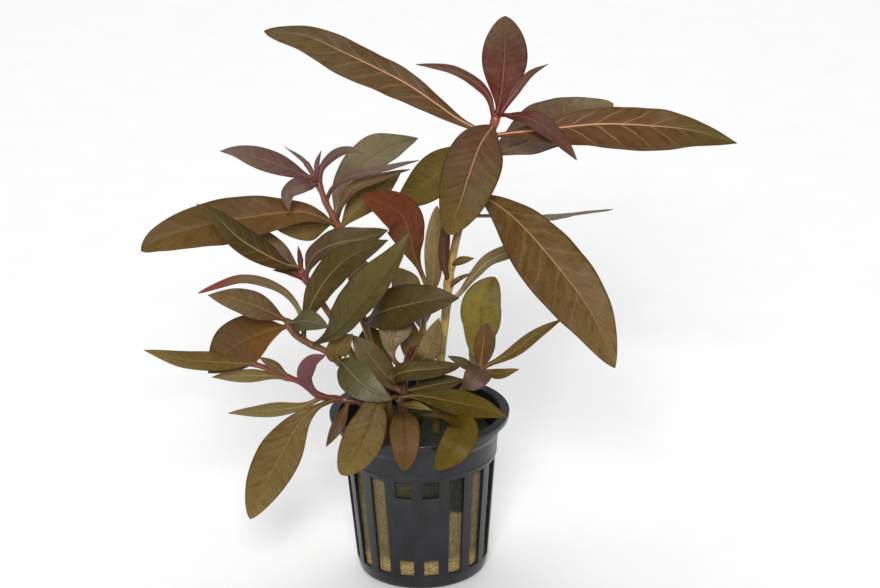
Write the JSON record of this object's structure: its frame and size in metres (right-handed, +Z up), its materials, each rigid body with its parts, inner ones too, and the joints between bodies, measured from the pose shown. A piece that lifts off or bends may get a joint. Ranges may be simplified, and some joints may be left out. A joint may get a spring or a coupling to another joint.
{
  "type": "potted aquarium plant",
  "caption": "Red-leaved Ludwigia glandulosa stems with lance-shaped leaves, standing in rock wool in a slotted black net pot",
  "frame": {"origin": "centre of the pot's foot, on the surface that it stands on", "axes": "+Z up along the pot's axis; -Y towards the viewer of the picture, the side of the bare panel; +X to the viewer's right"},
  "size_m": [0.1766, 0.0806, 0.1727],
  "materials": {
    "pot_plastic": "wet, gloss",
    "wool": "fibrous, matt",
    "stem_yellow": "satin",
    "stem_red": "satin",
    "leaf_purple": "satin, moist",
    "leaf_brown": "satin, moist",
    "leaf_olive": "satin, moist",
    "leaf_green": "satin, moist",
    "leaf_gold": "satin, moist",
    "leaf_red": "satin, moist",
    "leaf_tan": "satin, moist"
  },
  "bodies": {
    "root": {"net_pot": "pot_plastic", "rock_wool": "wool", "stem_tall": "stem_yellow", "stem_upper_left": "stem_red", "stem_mid_left": "stem_red", "stem_low_left": "stem_yellow", "stem_red_left": "stem_red", "stem_centre": "stem_red", "stem_rear": "stem_yellow", "stem_short_right": "stem_red", "stem_front": "stem_red", "leaf_top_upright": "leaf_purple", "leaf_top_droop": "leaf_purple", "leaf_right_long": "leaf_brown", "leaf_right_back": "leaf_olive", "leaf_left_long": "leaf_brown", "leaf_hanging_front": "leaf_purple", "leaf_behind_hanging": "leaf_olive", "leaf_right_droop": "leaf_brown", "leaf_right_thin": "leaf_green", "leaf_rear_right": "leaf_olive", "leaf_short_upright": "leaf_gold", "leaf_short_right": "leaf_olive", "leaf_short_pink": "leaf_red", "leaf_red_centre": "leaf_red", "leaf_pale_upright": "leaf_tan", "leaf_rear_olive": "leaf_olive", "leaf_back_olive": "leaf_green", "leaf_purple_arched": "leaf_purple", "leaf_purple_lower": "leaf_purple", "leaf_yellow_green": "leaf_green", "leaf_arched_glossy": "leaf_green", "leaf_dark": "leaf_green", "leaf_big_centre": "leaf_green", "leaf_centre_right": "leaf_olive", "leaf_wet_left": "leaf_tan", "leaf_wet_right": "leaf_tan", "leaf_grey_green": "leaf_green", "leaf_olive_brown": "leaf_brown", "leaf_grey_olive": "leaf_green", "leaf_yellow_olive": "leaf_olive", "leaf_over_rim_left": "leaf_gold", "leaf_over_rim_middle": "leaf_brown", "leaf_over_rim_right": "leaf_gold", "leaf_low_left_hanging": "leaf_gold", "leaf_low_left_flat": "leaf_olive", "leaf_left_reaching": "leaf_gold", "leaf_left_tan": "leaf_tan", "leaf_upper_left_purple": "leaf_purple", "leaf_upper_left_folded": "leaf_purple", "leaf_upper_left_long": "leaf_gold", "leaf_mid_left_green": "leaf_green", "leaf_mid_left_brown": "leaf_brown", "leaf_low_left_brown": "leaf_brown", "leaf_low_left_broad": "leaf_gold", "leaf_low_left_arched": "leaf_olive", "leaf_rear_high": "leaf_olive", "leaf_rear_middle": "leaf_brown", "leaf_rear_low": "leaf_gold", "leaf_rear_short": "leaf_olive"}
  },
  "joints": []
}
